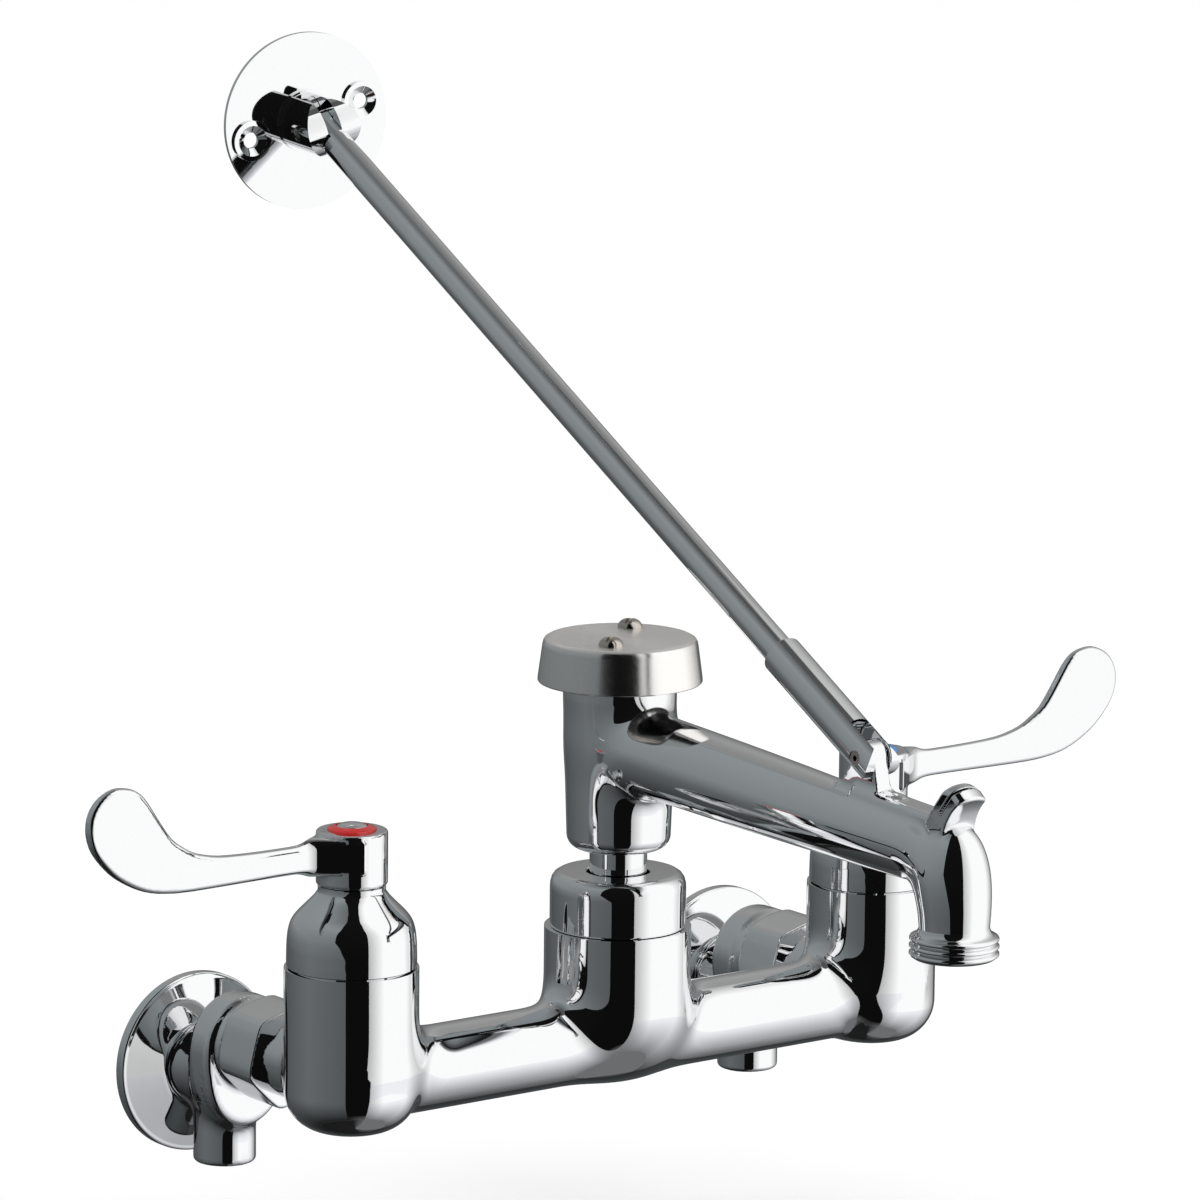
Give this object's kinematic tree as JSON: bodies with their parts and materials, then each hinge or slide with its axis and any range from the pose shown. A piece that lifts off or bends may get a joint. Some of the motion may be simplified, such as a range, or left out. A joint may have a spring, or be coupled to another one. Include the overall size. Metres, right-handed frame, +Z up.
{
  "type": "commercial wall faucet",
  "caption": "Two-handle wall faucet with wrist blades, supply stops, a vacuum-breaker spout with bucket hook and hose thread, and a top brace",
  "frame": {"origin": "on the wall plane, which is the plane of the flange backs, midway between the two inlets and at their height", "axes": "+X along the bridge towards the cold side, +Y into the wall, +Z up"},
  "size_m": [0.4008, 0.3614, 0.3373],
  "materials": {
    "chrome": "mirror-bright plating",
    "cap_steel": "fine brushed",
    "brass": "machined",
    "ceramic": "lapped ceramic",
    "hot_ring": "glossy",
    "cold_ring": "glossy",
    "rubber": "moulded",
    "fibre": "pressed fibre",
    "acetal": "moulded",
    "pin_steel": "rolled spring steel"
  },
  "bodies": {
    "fixture": {"body_casting": "chrome", "left_bonnet": "chrome", "right_bonnet": "chrome", "left_cartridge_body": "brass", "right_cartridge_body": "brass", "left_fixed_disc": "ceramic", "right_fixed_disc": "ceramic", "seat_seals": "rubber", "spout_nut": "chrome", "left_union_nut": "chrome", "right_union_nut": "chrome", "union_washers": "fibre", "left_supply_arm": "chrome", "right_supply_arm": "chrome", "left_flange": "chrome", "right_flange": "chrome", "left_stop_gland": "brass", "right_stop_gland": "brass"},
    "left_valve": {"left_stem": "brass", "left_turning_disc": "ceramic", "left_handle": "chrome", "left_index_ring": "hot_ring", "left_handle_screw": "chrome"},
    "right_valve": {"right_stem": "brass", "right_turning_disc": "ceramic", "right_handle": "chrome", "right_index_ring": "cold_ring", "right_handle_screw": "chrome"},
    "spout": {"shank": "chrome", "shank_ring": "brass", "shank_seals": "rubber", "spout_casting": "chrome", "breaker_cap": "cap_steel", "cap_screws": "cap_steel", "breaker_seat": "brass"},
    "poppet": {"breaker_poppet": "acetal", "poppet_seal": "rubber"},
    "brace": {"brace_sleeve": "chrome", "sleeve_pin": "pin_steel"},
    "rod": {"brace_rod": "chrome"},
    "bracket": {"wall_bracket": "chrome", "bracket_pin": "pin_steel"},
    "left_carrier": {"left_stop_carrier": "rubber"},
    "left_spindle": {"left_stop_spindle": "brass"},
    "right_carrier": {"right_stop_carrier": "rubber"},
    "right_spindle": {"right_stop_spindle": "brass"}
  },
  "joints": [
    {"name": "left_valve_turn", "type": "hinge", "parent": "fixture", "child": "left_valve", "pos_m": [-0.1016, -0.085, 0.08], "axis": [0, 0, 1], "range_deg": [0, 90]},
    {"name": "right_valve_turn", "type": "hinge", "parent": "fixture", "child": "right_valve", "pos_m": [0.1016, -0.085, 0.08], "axis": [0, 0, 1], "range_deg": [-90, 0]},
    {"name": "spout_swing", "type": "hinge", "parent": "fixture", "child": "spout", "pos_m": [0, -0.085, 0.06], "axis": [0, 0, 1], "range_deg": [-35, 35]},
    {"name": "poppet_lift", "type": "slide", "parent": "spout", "child": "poppet", "axis": [0, 0, 1], "range_m": [0, 0.005]},
    {"name": "brace_swing", "type": "hinge", "parent": "spout", "child": "brace", "pos_m": [0, -0.2107, 0.1231], "axis": [1, 0, 0], "range_deg": [-15, 50]},
    {"name": "rod_turn", "type": "hinge", "parent": "brace", "child": "rod", "pos_m": [0, -0.2107, 0.1231], "axis": [0, 0.8801, 0.4747], "range_deg": [-30, 30]},
    {"name": "bracket_tilt", "type": "hinge", "parent": "rod", "child": "bracket", "pos_m": [0, 0.07913, 0.27942], "axis": [0.9537, -0.1427, 0.2647], "range_deg": [-45, 45]},
    {"name": "left_stop_lift", "type": "slide", "parent": "fixture", "child": "left_carrier", "axis": [0, 0, 1], "range_m": [0, 0.004]},
    {"name": "left_stop_turn", "type": "hinge", "parent": "left_carrier", "child": "left_spindle", "pos_m": [-0.1035, -0.0185, -0.02], "axis": [0, 0, 1], "range_deg": [0, 720]},
    {"name": "right_stop_lift", "type": "slide", "parent": "fixture", "child": "right_carrier", "axis": [0, 0, 1], "range_m": [0, 0.004]},
    {"name": "right_stop_turn", "type": "hinge", "parent": "right_carrier", "child": "right_spindle", "pos_m": [0.1035, -0.0185, -0.02], "axis": [0, 0, 1], "range_deg": [0, 720]}
  ],
  "couplings": [
    {"joint": "left_stop_turn", "follows": "left_stop_lift", "rad_per_m": 3141.6},
    {"joint": "right_stop_turn", "follows": "right_stop_lift", "rad_per_m": 3141.6}
  ]
}
